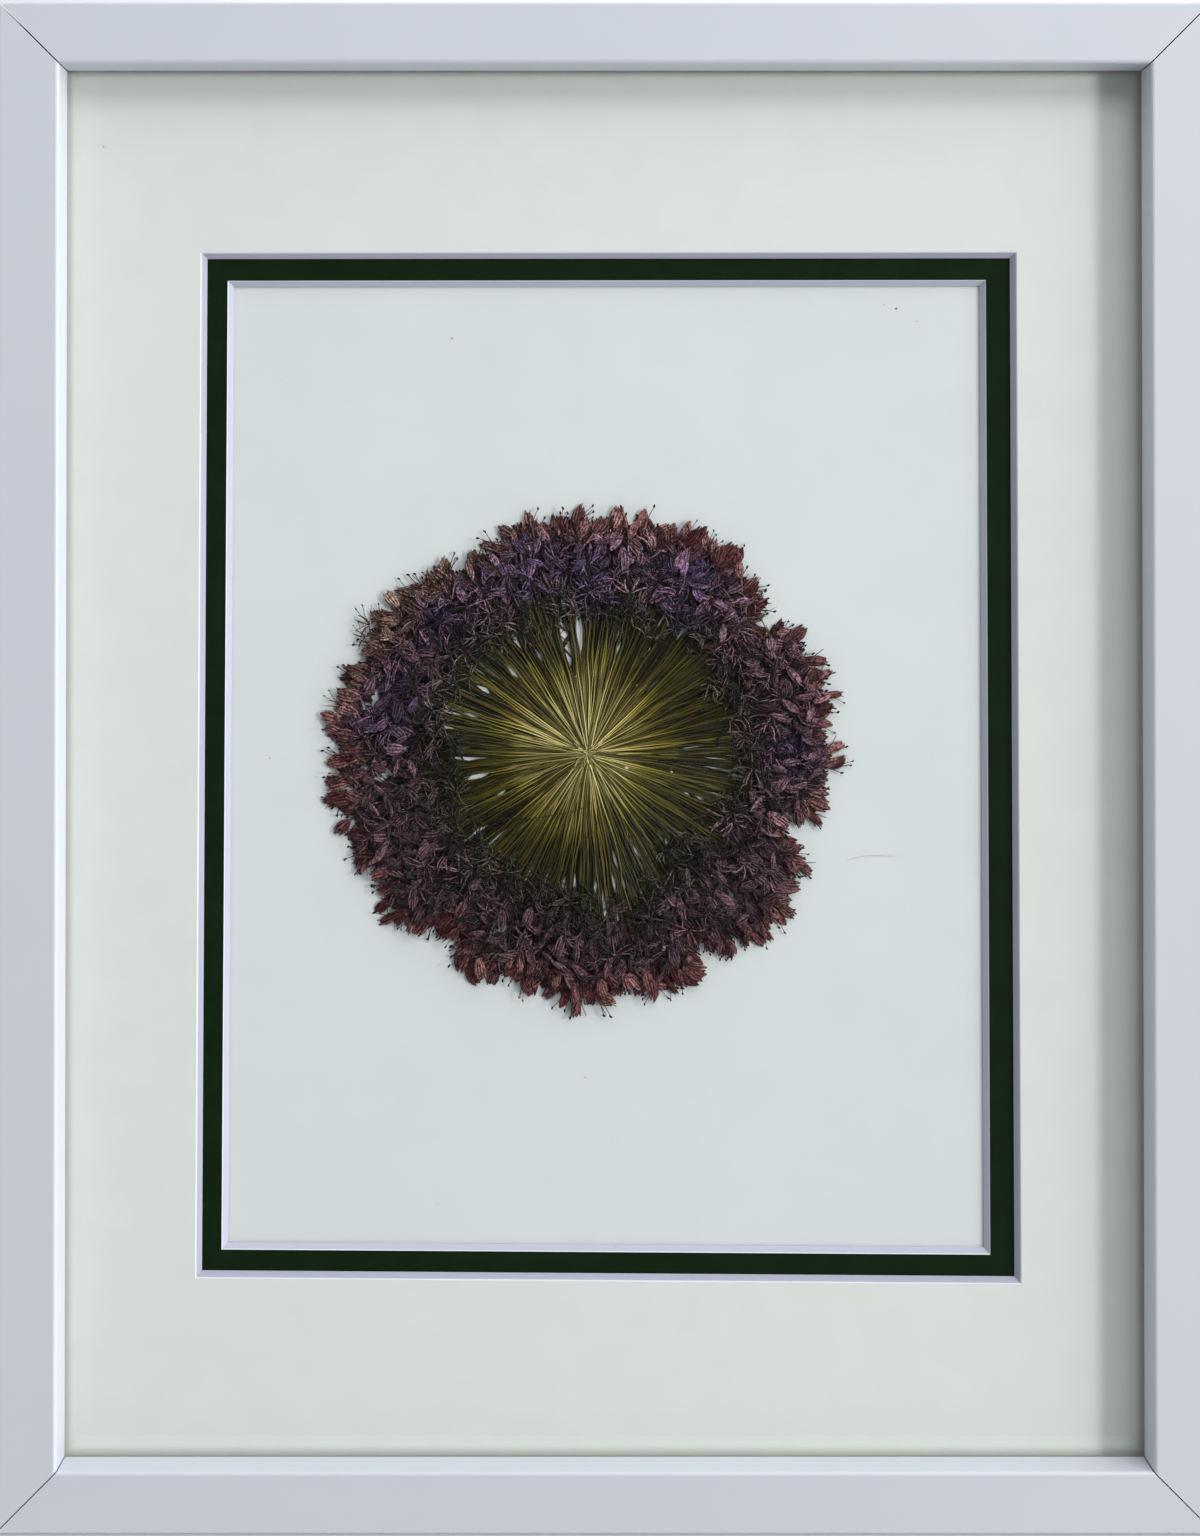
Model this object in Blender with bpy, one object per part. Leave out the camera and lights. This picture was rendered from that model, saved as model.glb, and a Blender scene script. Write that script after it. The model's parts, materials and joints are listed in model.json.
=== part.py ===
"""A pressed allium flower head behind glass, in a white wooden frame with a double mat.

Sizes are in metres. The frame is built as it hangs: it faces -Y, +Z is up and +X is to the right.
The origin is the middle notch of the sawtooth hanger, on the plane of the rails' backs.
"""

import math

import bmesh
import bpy
from mathutils import Vector

# Clearances
GAP = 0.0003
PANEL_CLEARANCE = 0.0008

# Wooden rails: an 11 x 14 inch rabbet behind a lip that covers a quarter of an inch of it
SIGHT_WIDTH = 0.2667
SIGHT_HEIGHT = 0.3429
FACE_WIDTH = 0.015
RAIL_DEPTH = 0.022
LIP_DEPTH = 0.007
RABBET_WIDTH = 0.00635
FRONT_EDGE_RADIUS = 0.0008
EDGE_STEPS = 3
TOP_ABOVE_NOTCH = 0.005
# The four rails and the way each faces out, as (x, z)
RAIL_SIDES = {"rail_top": (0, 1), "rail_right": (1, 0), "rail_bottom": (0, -1), "rail_left": (-1, 0)}

# What lies in the rabbet, from the front
GLASS_THICKNESS = 0.002
MAT_THICKNESS = 0.0014
CARD_THICKNESS = 0.0014
BACKING_THICKNESS = 0.003

# Windows of the mats at their face, as (x, z) from the middle of the frame, clockwise from the
# top left. They are cut by hand, a little off centre and a little out of square.
CREAM_WINDOW = ((-0.1006, 0.1266), (0.1029, 0.1268), (0.1036, -0.1299), (-0.1016, -0.1284))
GREEN_WINDOW = ((-0.0943, 0.1199), (0.0957, 0.1201), (0.0964, -0.1234), (-0.0955, -0.1221))

# Flower head: the middle of the stalks, as (x, z) from the middle of the frame
FLOWER_CENTRE = (-0.0041, 0.0016)
FLOWER_STEPS = 192
# Outer edge of the florets: (degrees clockwise from the top, radius)
FLORET_EDGE = (
    (0, 0.0610), (28, 0.0628), (47, 0.0608), (50, 0.0530), (56, 0.0530), (59, 0.0610),
    (78, 0.0635), (104, 0.0610), (108, 0.0545), (113, 0.0550), (117, 0.0625), (133, 0.0648),
    (147, 0.0635), (150, 0.0570), (153, 0.0645), (180, 0.0648), (197, 0.0618), (206, 0.0650),
    (220, 0.0605), (228, 0.0662), (240, 0.0635), (256, 0.0668), (275, 0.0670), (293, 0.0640),
    (300, 0.0672), (306, 0.0638), (327, 0.0592), (336, 0.0575), (342, 0.0632), (360, 0.0610),
)
# Inner edge of the florets, where the bare stalks begin
STALK_EDGE = (
    (0, 0.0375), (18, 0.0350), (45, 0.0385), (70, 0.0375), (100, 0.0385), (127, 0.0330),
    (145, 0.0375), (185, 0.0385), (206, 0.0335), (235, 0.0375), (267, 0.0345), (300, 0.0385),
    (330, 0.0345), (350, 0.0375), (360, 0.0375),
)

# Fan of stalks: a low mound, with rings of points at these shares of its radius
STALK_RINGS = (1.0, 0.82, 0.62, 0.42, 0.24, 0.10)
STALK_RIM_THICKNESS = 0.0009
STALK_MOUND_HEIGHT = 0.0016
STALK_MOUND_POWER = 1.5
STALK_RIDGE_HEIGHT = 0.0004

# Ring of florets: a band with a low crown, rows of lumps, and tips and bases of uneven length
FLORET_RINGS = (0.0, 0.12, 0.30, 0.48, 0.66, 0.82, 0.93, 1.0)
STEPS_PER_FLORET = 3
FLORET_RIM_THICKNESS = 0.0008
FLORET_CROWN_HEIGHT = 0.0008
FLORET_CROWN_START = 0.15
FLORET_CROWN_END = 0.90
FLORET_LUMP_HEIGHT = 0.0010
FLORET_TIP_LENGTH = 0.0032
FLORET_BASE_LENGTH = 0.0014
# How fast lumps, tips and bases change along the ring, in radians, and how far rows are shifted
LUMP_CHANGE = 1.7
TIP_CHANGE = 2.4
BASE_CHANGE = 4.1
ROW_SHIFT = 2.9

# Metal points that hold the backing board, pressed into the rails
POINT_THICKNESS = 0.0006
POINT_WIDTH = 0.007
POINT_LENGTH = 0.015
POINT_IN_RAIL = 0.004
POINT_TAPER = 0.0025
SIDE_POINT_PLACES = (-0.115, 0.0, 0.115)
END_POINT_PLACES = (-0.070, 0.070)

# Sawtooth hanger: a bent strip with its ends nailed to the top rail
HANGER_LENGTH = 0.044
HANGER_STEEL = 0.0008
HANGER_BRIDGE = 0.028
HANGER_RISE = 0.0011
HANGER_TOP = 0.004
TOOTH_PITCH = 0.0032
TOOTH_DEPTH = 0.0015
TOOTH_COUNT = 7

# Nails of the hanger, with a low round head
NAIL_PLACE = 0.0185
NAIL_HEIGHT = 0.0012
NAIL_RADIUS = 0.0006
NAIL_LENGTH = 0.010
NAIL_TAPER = 0.0018
NAIL_TIP_RADIUS = 0.0001
NAIL_HEAD_RADIUS = 0.0014
NAIL_HEAD_HEIGHT = 0.0005
NAIL_CROWN_RADIUS = 0.0010
NAIL_SIDES = 12

# Rubber bumpers on the bottom rail, as (radius, height) from the rail to the crown
BUMPER_PROFILE = ((0.0040, 0.0), (0.0040, 0.0013), (0.0032, 0.0020), (0.0018, 0.0022))
BUMPER_FROM_SIDE = 0.022
BUMPER_SIDES = 24

# Places worked out from the sizes above
OUTER_WIDTH = SIGHT_WIDTH + 2 * FACE_WIDTH
OUTER_HEIGHT = SIGHT_HEIGHT + 2 * FACE_WIDTH
WALL_WIDTH = FACE_WIDTH - RABBET_WIDTH
MIDDLE_Z = TOP_ABOVE_NOTCH - OUTER_HEIGHT / 2
PANEL_WIDTH = SIGHT_WIDTH + 2 * (RABBET_WIDTH - PANEL_CLEARANCE)
PANEL_HEIGHT = SIGHT_HEIGHT + 2 * (RABBET_WIDTH - PANEL_CLEARANCE)
GLASS_FRONT = LIP_DEPTH - RAIL_DEPTH + GAP
CREAM_FRONT = GLASS_FRONT + GLASS_THICKNESS + GAP
GREEN_FRONT = CREAM_FRONT + MAT_THICKNESS + GAP
CARD_FRONT = GREEN_FRONT + MAT_THICKNESS + GAP
BACKING_FRONT = CARD_FRONT + CARD_THICKNESS + GAP
POINT_FRONT = BACKING_FRONT + BACKING_THICKNESS + GAP
FLOWER_BACK = CARD_FRONT - GAP


def clear_scene():
    for old in list(bpy.data.objects):
        bpy.data.objects.remove(old, do_unlink=True)


def make_material(name, colour, roughness, metallic=0.0, transmission=0.0):
    material = bpy.data.materials.new(name)
    material.use_nodes = True
    shader = material.node_tree.nodes["Principled BSDF"]
    shader.inputs["Base Color"].default_value = (*colour, 1.0)
    shader.inputs["Roughness"].default_value = roughness
    shader.inputs["Metallic"].default_value = metallic
    shader.inputs["Transmission Weight"].default_value = transmission
    return material


def skin(loops, joined=False):
    """A closed surface through loops of points. It is capped at both ends, or joined end to end."""
    surface = bmesh.new()
    rings = [[surface.verts.new(point) for point in loop] for loop in loops]
    pairs = list(zip(rings, rings[1:]))
    if joined:
        pairs.append((rings[-1], rings[0]))
    else:
        surface.faces.new(rings[0])
        surface.faces.new(rings[-1])
    for first, second in pairs:
        for index in range(len(first)):
            following = (index + 1) % len(first)
            surface.faces.new((first[index], first[following], second[following], second[index]))
    bmesh.ops.recalc_face_normals(surface, faces=surface.faces)
    return surface


def add_object(name, surface, material, smooth=False):
    mesh = bpy.data.meshes.new(name)
    surface.to_mesh(mesh)
    surface.free()
    if smooth:
        mesh.shade_smooth()
        mesh.set_sharp_from_angle(angle=math.radians(40))
    piece = bpy.data.objects.new(name, mesh)
    bpy.context.scene.collection.objects.link(piece)
    mesh.materials.append(material)
    return piece


def add_cutter(name, surface, material):
    cutter = add_object(name, surface, material)
    cutter.hide_render = True
    cutter.display_type = "WIRE"
    return cutter


def cut(piece, cutter):
    boolean = piece.modifiers.new(cutter.name, "BOOLEAN")
    boolean.operation = "DIFFERENCE"
    boolean.solver = "EXACT"
    boolean.object = cutter


def turned(profile, sides, place):
    """A round solid about a line along Y through place, from (radius, y) points."""
    loops = []
    for radius, y in profile:
        angles = [math.tau * side / sides for side in range(sides)]
        loops.append([
            place + Vector((radius * math.cos(angle), y, radius * math.sin(angle)))
            for angle in angles
        ])
    return skin(loops)


def rectangle(width, height, y):
    """Four corners of an upright sheet in the middle of the frame, clockwise from the top left."""
    corners = ((-1, 1), (1, 1), (1, -1), (-1, -1))
    return [Vector((width / 2 * x, y, MIDDLE_Z + height / 2 * z)) for x, z in corners]


def add_sheet(name, front, thickness, material):
    loops = [rectangle(PANEL_WIDTH, PANEL_HEIGHT, y) for y in (front, front + thickness)]
    return add_object(name, skin(loops), material)


def window_corners(window, y, inset=0.0):
    """The window's corners, moved in by inset on every side."""
    return [
        Vector((x - math.copysign(inset, x), y, MIDDLE_Z + z - math.copysign(inset, z)))
        for x, z in window
    ]


def add_mat(name, front, window, material):
    """Mat board whose window is cut at 45 degrees, wider at the face than at the back."""
    back = front + MAT_THICKNESS
    loops = [
        rectangle(PANEL_WIDTH, PANEL_HEIGHT, front),
        window_corners(window, front),
        window_corners(window, back, MAT_THICKNESS),
        rectangle(PANEL_WIDTH, PANEL_HEIGHT, back),
    ]
    return add_object(name, skin(loops, joined=True), material)


def rounded_corner(across, turn):
    """Points of the small round between a rail's face and its side; turn is 1 at the outer side."""
    points = []
    for step in range(EDGE_STEPS + 1):
        angle = math.radians(90 * step / EDGE_STEPS)
        points.append((
            across + turn * FRONT_EDGE_RADIUS * (1 - math.cos(angle)),
            FRONT_EDGE_RADIUS * (1 - math.sin(angle)) - RAIL_DEPTH,
        ))
    return points


def rail_profile():
    """Outline of a rail as (distance in from the frame's outer side, y)."""
    lip_back = LIP_DEPTH - RAIL_DEPTH
    return (
        [(0.0, 0.0)]
        + rounded_corner(0.0, 1)
        + rounded_corner(FACE_WIDTH, -1)[::-1]
        + [(FACE_WIDTH, lip_back), (WALL_WIDTH, lip_back), (WALL_WIDTH, 0.0)]
    )


def side_point(outward, inset, along, y):
    """A point on one side of the frame: inset is in from the outer side, along from its middle."""
    reach = (OUTER_WIDTH if outward[0] else OUTER_HEIGHT) / 2 - inset
    x = outward[0] * reach + outward[1] * along
    z = outward[1] * reach - outward[0] * along
    return Vector((x, y, MIDDLE_Z + z))


def add_rail(name, outward, material):
    """A rail with mitred ends. outward is the way from the frame's middle to the rail."""
    half_length = (OUTER_HEIGHT if outward[0] else OUTER_WIDTH) / 2 - GAP / math.sqrt(2)
    loops = []
    for end in (-1, 1):
        loops.append([
            side_point(outward, inset, end * (half_length - inset), y)
            for inset, y in rail_profile()
        ])
    return add_object(name, skin(loops), material, smooth=True)


def point_surface(outward, place, grow=0.0):
    """A metal point, from inside the rail to its tapered end over the board; grow makes its slot."""
    half_width = POINT_WIDTH / 2 + grow
    inside = WALL_WIDTH - POINT_IN_RAIL - grow
    free_end = WALL_WIDTH - POINT_IN_RAIL + POINT_LENGTH
    outline = (
        (inside, -half_width), (free_end - POINT_TAPER, -half_width),
        (free_end, POINT_TAPER - half_width), (free_end, half_width - POINT_TAPER),
        (free_end - POINT_TAPER, half_width), (inside, half_width),
    )
    loops = []
    for y in (POINT_FRONT - grow, POINT_FRONT + POINT_THICKNESS + grow):
        loops.append([side_point(outward, inset, place + across, y) for inset, across in outline])
    return skin(loops)


def add_points(rails, material):
    """The metal points, each in its own slot in a rail."""
    places = [
        (name, outward, place)
        for name, outward in RAIL_SIDES.items()
        for place in (SIDE_POINT_PLACES if outward[0] else END_POINT_PLACES)
    ]
    for number, (name, outward, place) in enumerate(places, start=1):
        slot = add_cutter(f"slot_{number:02d}", point_surface(outward, place, GAP), material)
        cut(rails[name], slot)
        add_object(f"retaining_point_{number:02d}", point_surface(outward, place), material)


def hanger_lower_edge():
    """Lower edge of the hanger as (x, z), with its middle notch at the origin."""
    toothed_half = TOOTH_COUNT * TOOTH_PITCH / 2
    edge = [(-HANGER_LENGTH / 2, -TOOTH_DEPTH), (-HANGER_BRIDGE / 2, -TOOTH_DEPTH)]
    for tooth in range(TOOTH_COUNT):
        start = tooth * TOOTH_PITCH - toothed_half
        edge += [(start, -TOOTH_DEPTH), (start + TOOTH_PITCH / 2, 0.0)]
    edge += [(toothed_half, -TOOTH_DEPTH), (HANGER_BRIDGE / 2, -TOOTH_DEPTH)]
    edge.append((HANGER_LENGTH / 2, -TOOTH_DEPTH))
    return edge


def hanger_offset(x):
    """How far the strip stands off the rail: its middle is a bridge with sloping ends."""
    slope = (HANGER_BRIDGE / 2 - abs(x)) / TOOTH_PITCH
    return GAP + HANGER_RISE * min(max(slope, 0.0), 1.0)


def add_hanger(top_rail, strip_steel, nail_steel):
    """The toothed strip, and its two nails in holes through it into the rail."""
    sections = []
    for x, z in hanger_lower_edge():
        near = hanger_offset(x)
        far = near + HANGER_STEEL
        corners = ((near, z), (near, HANGER_TOP), (far, HANGER_TOP), (far, z))
        sections.append([Vector((x, y, height)) for y, height in corners])
    hanger = add_object("hanger", skin(sections), strip_steel)
    seat = 2 * GAP + HANGER_STEEL
    nail_profile = (
        (NAIL_CROWN_RADIUS, seat + NAIL_HEAD_HEIGHT), (NAIL_HEAD_RADIUS, seat + NAIL_HEAD_HEIGHT / 2),
        (NAIL_HEAD_RADIUS, seat), (NAIL_RADIUS, seat),
        (NAIL_RADIUS, NAIL_TAPER - NAIL_LENGTH), (NAIL_TIP_RADIUS, -NAIL_LENGTH),
    )
    hole_profile = ((NAIL_RADIUS + GAP, 2 * seat), (NAIL_RADIUS + GAP, -NAIL_LENGTH - GAP))
    for name, side in (("left", -1), ("right", 1)):
        place = Vector((side * NAIL_PLACE, 0.0, NAIL_HEIGHT))
        hole = add_cutter(f"nail_hole_{name}", turned(hole_profile, NAIL_SIDES, place), nail_steel)
        cut(hanger, hole)
        cut(top_rail, hole)
        nail = turned(nail_profile, NAIL_SIDES, place)
        add_object(f"hanger_nail_{name}", nail, nail_steel, smooth=True)


def add_bumpers(material):
    profile = [(radius, GAP + height) for radius, height in BUMPER_PROFILE]
    from_middle = OUTER_WIDTH / 2 - BUMPER_FROM_SIDE
    for name, side in (("left", 1), ("right", -1)):
        place = side_point(RAIL_SIDES["rail_bottom"], WALL_WIDTH / 2, side * from_middle, 0.0)
        add_object(f"bumper_{name}", turned(profile, BUMPER_SIDES, place), material, smooth=True)


def radius_at(edge, degrees):
    """Radius of a flower edge at an angle, along straight lines between its points."""
    for (first_angle, first_radius), (next_angle, next_radius) in zip(edge, edge[1:]):
        if first_angle <= degrees <= next_angle:
            share = (degrees - first_angle) / (next_angle - first_angle)
            return first_radius + share * (next_radius - first_radius)
    return edge[-1][1]


def flower_point(degrees, radius, height):
    """A point of the flower, from the middle of the stalks; height is up from the card."""
    angle = math.radians(degrees)
    return Vector((
        FLOWER_CENTRE[0] + radius * math.sin(angle),
        FLOWER_BACK - height,
        MIDDLE_Z + FLOWER_CENTRE[1] + radius * math.cos(angle),
    ))


def add_stalks(material):
    """The fan of stalks: a low mound with a ridge for each bundle, thickest where they meet."""
    angles = [360 * step / FLOWER_STEPS for step in range(FLOWER_STEPS)]
    edges = [radius_at(STALK_EDGE, angle) - GAP for angle in angles]
    loops = [[flower_point(angle, edge, 0.0) for angle, edge in zip(angles, edges)]]
    for share in STALK_RINGS:
        level = STALK_RIM_THICKNESS + STALK_MOUND_HEIGHT * (1 - share) ** STALK_MOUND_POWER
        ridge = STALK_RIDGE_HEIGHT * share
        loops.append([
            flower_point(angles[step], edges[step] * share, level + ridge * (step % 2))
            for step in range(FLOWER_STEPS)
        ])
    return add_object("flower_stalks", skin(loops), material)


def uneven(number, change):
    """A share from 0 to 1 that differs from one floret to the next."""
    return 0.5 + 0.5 * math.sin(change * number)


def floret_outline():
    """The ring's (degrees, inner radius, outer radius), with a tip and a base for each floret."""
    outline = []
    for step in range(FLOWER_STEPS):
        degrees = 360 * step / FLOWER_STEPS
        inner = radius_at(STALK_EDGE, degrees)
        outer = radius_at(FLORET_EDGE, degrees)
        if step % STEPS_PER_FLORET != 1:
            floret = step // STEPS_PER_FLORET
            inner += FLORET_BASE_LENGTH * uneven(floret, BASE_CHANGE)
            outer -= FLORET_TIP_LENGTH * uneven(floret, TIP_CHANGE)
        outline.append((degrees, inner, outer))
    return outline


def add_florets(material):
    """The ring of florets, with a row of lumps along each of its rings."""
    outline = floret_outline()
    loops = [[flower_point(degrees, inner, 0.0) for degrees, inner, outer in outline]]
    for row, share in enumerate(FLORET_RINGS):
        across = FLORET_CROWN_START + (FLORET_CROWN_END - FLORET_CROWN_START) * share
        crown = math.sin(math.pi * across)
        level = FLORET_RIM_THICKNESS + FLORET_CROWN_HEIGHT * crown
        loop = []
        for step, (degrees, inner, outer) in enumerate(outline):
            height = level
            if (step + row) % STEPS_PER_FLORET == 1:
                lump = uneven(step + ROW_SHIFT * row * row, LUMP_CHANGE)
                height += FLORET_LUMP_HEIGHT * crown * lump
            loop.append(flower_point(degrees, inner + share * (outer - inner), height))
        loops.append(loop)
    loops.append([flower_point(degrees, outer, 0.0) for degrees, inner, outer in outline])
    return add_object("flower_florets", skin(loops, joined=True), material)


def build():
    clear_scene()
    white_paint = make_material("white_paint", (0.60, 0.65, 0.72), 0.45)
    clear_glass = make_material("clear_glass", (0.95, 0.98, 0.97), 0.05, transmission=1.0)
    cream_board = make_material("cream_board", (0.70, 0.75, 0.71), 0.9)
    green_board = make_material("green_board", (0.010, 0.022, 0.009), 0.8)
    white_card = make_material("white_card", (0.70, 0.76, 0.77), 0.85)
    hardboard = make_material("hardboard", (0.26, 0.15, 0.07), 0.8)
    steel = make_material("point_steel", (0.55, 0.56, 0.57), 0.4, metallic=1.0)
    brassed_steel = make_material("brassed_steel", (0.72, 0.55, 0.27), 0.35, metallic=1.0)
    rubber = make_material("bumper_rubber", (0.05, 0.05, 0.05), 0.7)
    dry_stalk = make_material("dry_stalk", (0.22, 0.19, 0.05), 0.6)
    dry_floret = make_material("dry_floret", (0.07, 0.04, 0.06), 0.8)

    rails = {name: add_rail(name, outward, white_paint) for name, outward in RAIL_SIDES.items()}
    add_sheet("glass", GLASS_FRONT, GLASS_THICKNESS, clear_glass)
    add_mat("mat_cream", CREAM_FRONT, CREAM_WINDOW, cream_board)
    add_mat("mat_green", GREEN_FRONT, GREEN_WINDOW, green_board)
    add_sheet("specimen_card", CARD_FRONT, CARD_THICKNESS, white_card)
    add_sheet("backing_board", BACKING_FRONT, BACKING_THICKNESS, hardboard)
    add_stalks(dry_stalk)
    add_florets(dry_floret)
    add_points(rails, steel)
    add_hanger(rails["rail_top"], brassed_steel, steel)
    add_bumpers(rubber)


build()
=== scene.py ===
"""Looks of a pressed allium flower head, framed under glass with a double mat."""

import json
import math
import random

import bmesh
import bpy
from mathutils import Matrix, Vector

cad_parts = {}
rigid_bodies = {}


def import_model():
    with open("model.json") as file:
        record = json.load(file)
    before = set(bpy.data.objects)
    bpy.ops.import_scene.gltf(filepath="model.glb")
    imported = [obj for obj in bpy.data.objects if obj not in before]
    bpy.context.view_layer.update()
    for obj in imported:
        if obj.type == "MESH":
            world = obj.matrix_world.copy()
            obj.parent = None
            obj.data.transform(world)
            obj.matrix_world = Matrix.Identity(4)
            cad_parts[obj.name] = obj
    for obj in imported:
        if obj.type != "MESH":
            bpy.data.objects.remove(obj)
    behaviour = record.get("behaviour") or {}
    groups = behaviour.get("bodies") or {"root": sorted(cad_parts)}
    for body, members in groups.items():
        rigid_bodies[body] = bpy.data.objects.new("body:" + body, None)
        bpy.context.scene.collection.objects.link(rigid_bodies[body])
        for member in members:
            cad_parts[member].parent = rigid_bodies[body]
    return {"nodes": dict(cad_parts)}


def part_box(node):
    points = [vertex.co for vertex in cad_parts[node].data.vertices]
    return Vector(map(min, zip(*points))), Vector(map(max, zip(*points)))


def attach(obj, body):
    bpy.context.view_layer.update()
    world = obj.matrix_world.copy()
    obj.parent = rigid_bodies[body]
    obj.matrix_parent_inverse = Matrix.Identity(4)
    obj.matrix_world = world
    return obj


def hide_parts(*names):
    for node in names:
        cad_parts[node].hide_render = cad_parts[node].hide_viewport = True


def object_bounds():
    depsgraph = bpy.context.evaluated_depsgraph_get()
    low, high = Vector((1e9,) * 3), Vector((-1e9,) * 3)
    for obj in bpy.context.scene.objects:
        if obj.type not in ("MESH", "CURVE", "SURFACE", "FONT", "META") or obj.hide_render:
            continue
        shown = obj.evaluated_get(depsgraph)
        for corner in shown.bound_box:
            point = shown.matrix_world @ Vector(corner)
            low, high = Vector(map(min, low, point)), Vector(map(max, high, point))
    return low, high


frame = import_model()
cad_low, cad_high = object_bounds()

# Wooden rails
# Four mitred mouldings of close-grained wood, sprayed with satin white paint on the face and
# sides and left raw at the back and in the rabbet. They are glued at the corners.

# The rails, and the way that the grain of each runs.
RAIL_GRAIN = {"rail_top": "X", "rail_bottom": "X", "rail_left": "Z", "rail_right": "Z"}
MIDDLE = (cad_low + cad_high) / 2
HALF_SIZE = (cad_high - cad_low) / 2
PAINT_COLOUR = (0.625, 0.665, 0.715, 1)
PAINT_SHADE = (0.595, 0.635, 0.69, 1)
RAW_WOOD_LIGHT = (0.60, 0.44, 0.27, 1)
RAW_WOOD_DARK = (0.42, 0.27, 0.14, 1)
PAINT_ROUGHNESS = 0.42
PAINT_EDGE = 0.0004
RABBET_FRONT = -0.01502
RABBET_WALL = 0.0084
GRAIN_FINE, GRAIN_LONG = 260, 9


def put(tree, kind, inputs=None, **settings):
    """A node with these settings. An input is a value, or another node's output that it is linked to."""
    made = tree.nodes.new(kind)
    for name, value in settings.items():
        setattr(made, name, value)
    for name, value in (inputs or {}).items():
        if isinstance(value, bpy.types.NodeSocket):
            tree.links.new(value, made.inputs[name])
        else:
            made.inputs[name].default_value = value
    return made


def reckon(tree, operation, *values):
    """The result of this sum on the values."""
    return put(tree, "ShaderNodeMath", dict(enumerate(values)), operation=operation).outputs[0]


def fade(tree, value, start, end):
    """0 where value is at start, rising smoothly to 1 at end."""
    inputs = {"Value": value, "From Min": start, "From Max": end}
    return put(tree, "ShaderNodeMapRange", inputs, interpolation_type="SMOOTHSTEP").outputs[0]


def blend_colours(tree, factor, first, second, way="MIX"):
    made = put(tree, "ShaderNodeMix", {0: factor, 6: first, 7: second}, data_type="RGBA", blend_type=way)
    return made.outputs[2]


def stretched(tree, scale, turn=(0, 0, 0)):
    """Object coordinates, scaled differently along each axis."""
    place = put(tree, "ShaderNodeTexCoord").outputs["Object"]
    return put(tree, "ShaderNodeMapping", {"Vector": place, "Scale": scale, "Rotation": turn}).outputs[0]


def mottle(tree, vector, scale, detail=3.0, roughness=0.55):
    inputs = {"Vector": vector, "Scale": scale, "Detail": detail, "Roughness": roughness}
    return put(tree, "ShaderNodeTexNoise", inputs).outputs["Fac"]


def bump(tree, height, distance, strength=1.0, under=None):
    inputs = {"Height": height, "Distance": distance, "Strength": strength}
    if under:
        inputs["Normal"] = under
    return put(tree, "ShaderNodeBump", inputs).outputs[0]


def new_material(name, **constants):
    """A Principled material, its node tree and its shader; constants are set on the shader itself."""
    material = bpy.data.materials.new(name)
    material.use_nodes = True
    shader = material.node_tree.nodes["Principled BSDF"]
    for socket, value in constants.items():
        shader.inputs[socket.replace("_", " ")].default_value = value
    return material, material.node_tree, shader


def feed(tree, shader, **sources):
    for socket, source in sources.items():
        tree.links.new(source, shader.inputs[socket.replace("_", " ")])


def finish_node(name, material):
    """The CAD node's own mesh, with a better material."""
    node = frame["nodes"][name]
    node.data.materials.clear()
    node.data.materials.append(material)


def painted_wood(name, along):
    """Paint over faint grain, and raw wood on the back and in the rabbet."""
    material, tree, shader = new_material(name, Roughness=PAINT_ROUGHNESS)
    scale = {"X": (GRAIN_LONG, GRAIN_FINE, GRAIN_FINE), "Z": (GRAIN_FINE, GRAIN_FINE, GRAIN_LONG)}[along]
    grain = mottle(tree, stretched(tree, scale), 1.0, 5.0, 0.62)
    peel = mottle(tree, stretched(tree, (1, 1, 1)), 900.0, 2.0)
    cloud = mottle(tree, stretched(tree, (1, 1, 1)), 24.0, 3.0)
    paint = blend_colours(tree, cloud, PAINT_COLOUR, PAINT_SHADE)
    raw = blend_colours(tree, fade(tree, grain, 0.35, 0.65), RAW_WOOD_LIGHT, RAW_WOOD_DARK)
    place = put(tree, "ShaderNodeTexCoord").outputs["Object"]
    spot = put(tree, "ShaderNodeSeparateXYZ", {0: place})
    back = fade(tree, spot.outputs["Y"], -PAINT_EDGE, -PAINT_EDGE / 2)
    off_x = reckon(tree, "ABSOLUTE", spot.outputs["X"])
    off_z = reckon(tree, "ABSOLUTE", reckon(tree, "SUBTRACT", spot.outputs["Z"], MIDDLE.z))
    rabbet = fade(tree, spot.outputs["Y"], RABBET_FRONT - 0.0001, RABBET_FRONT)
    for off, half_size in ((off_x, HALF_SIZE.x), (off_z, HALF_SIZE.z)):
        wall = half_size - RABBET_WALL
        rabbet = reckon(tree, "MULTIPLY", rabbet, fade(tree, off, wall + 0.0002, wall))
    colour = blend_colours(tree, reckon(tree, "MAXIMUM", back, rabbet), paint, raw)
    relief = bump(tree, grain, 0.00003, 0.45, bump(tree, peel, 0.00001, 0.3))
    feed(tree, shader, Base_Color=colour, Normal=relief)
    return material


for rail_name, rail_along in RAIL_GRAIN.items():
    finish_node(rail_name, painted_wood(f"white_paint_{rail_name}", rail_along))

# Glass
# One sheet of clear 2 mm picture glass, held against the lip by the mats behind it. Here it casts no
# shadow on the flower, and takes no part in the soft light between surfaces.

glass_material, glass_tree, glass_shader = new_material(
    "clear_glass", Base_Color=(0.985, 0.995, 0.99, 1), Roughness=0.0, Transmission_Weight=1.0, IOR=1.45,
    Specular_IOR_Level=0.25)
finish_node("glass", glass_material)
frame["nodes"]["glass"].visible_shadow = False
frame["nodes"]["glass"].visible_diffuse = False

# Mats
# Two sheets of mat board over the card: off-white above, dark green below. Each is white-cored
# board faced with tinted paper, with its window cut by hand at 45 degrees.

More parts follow.
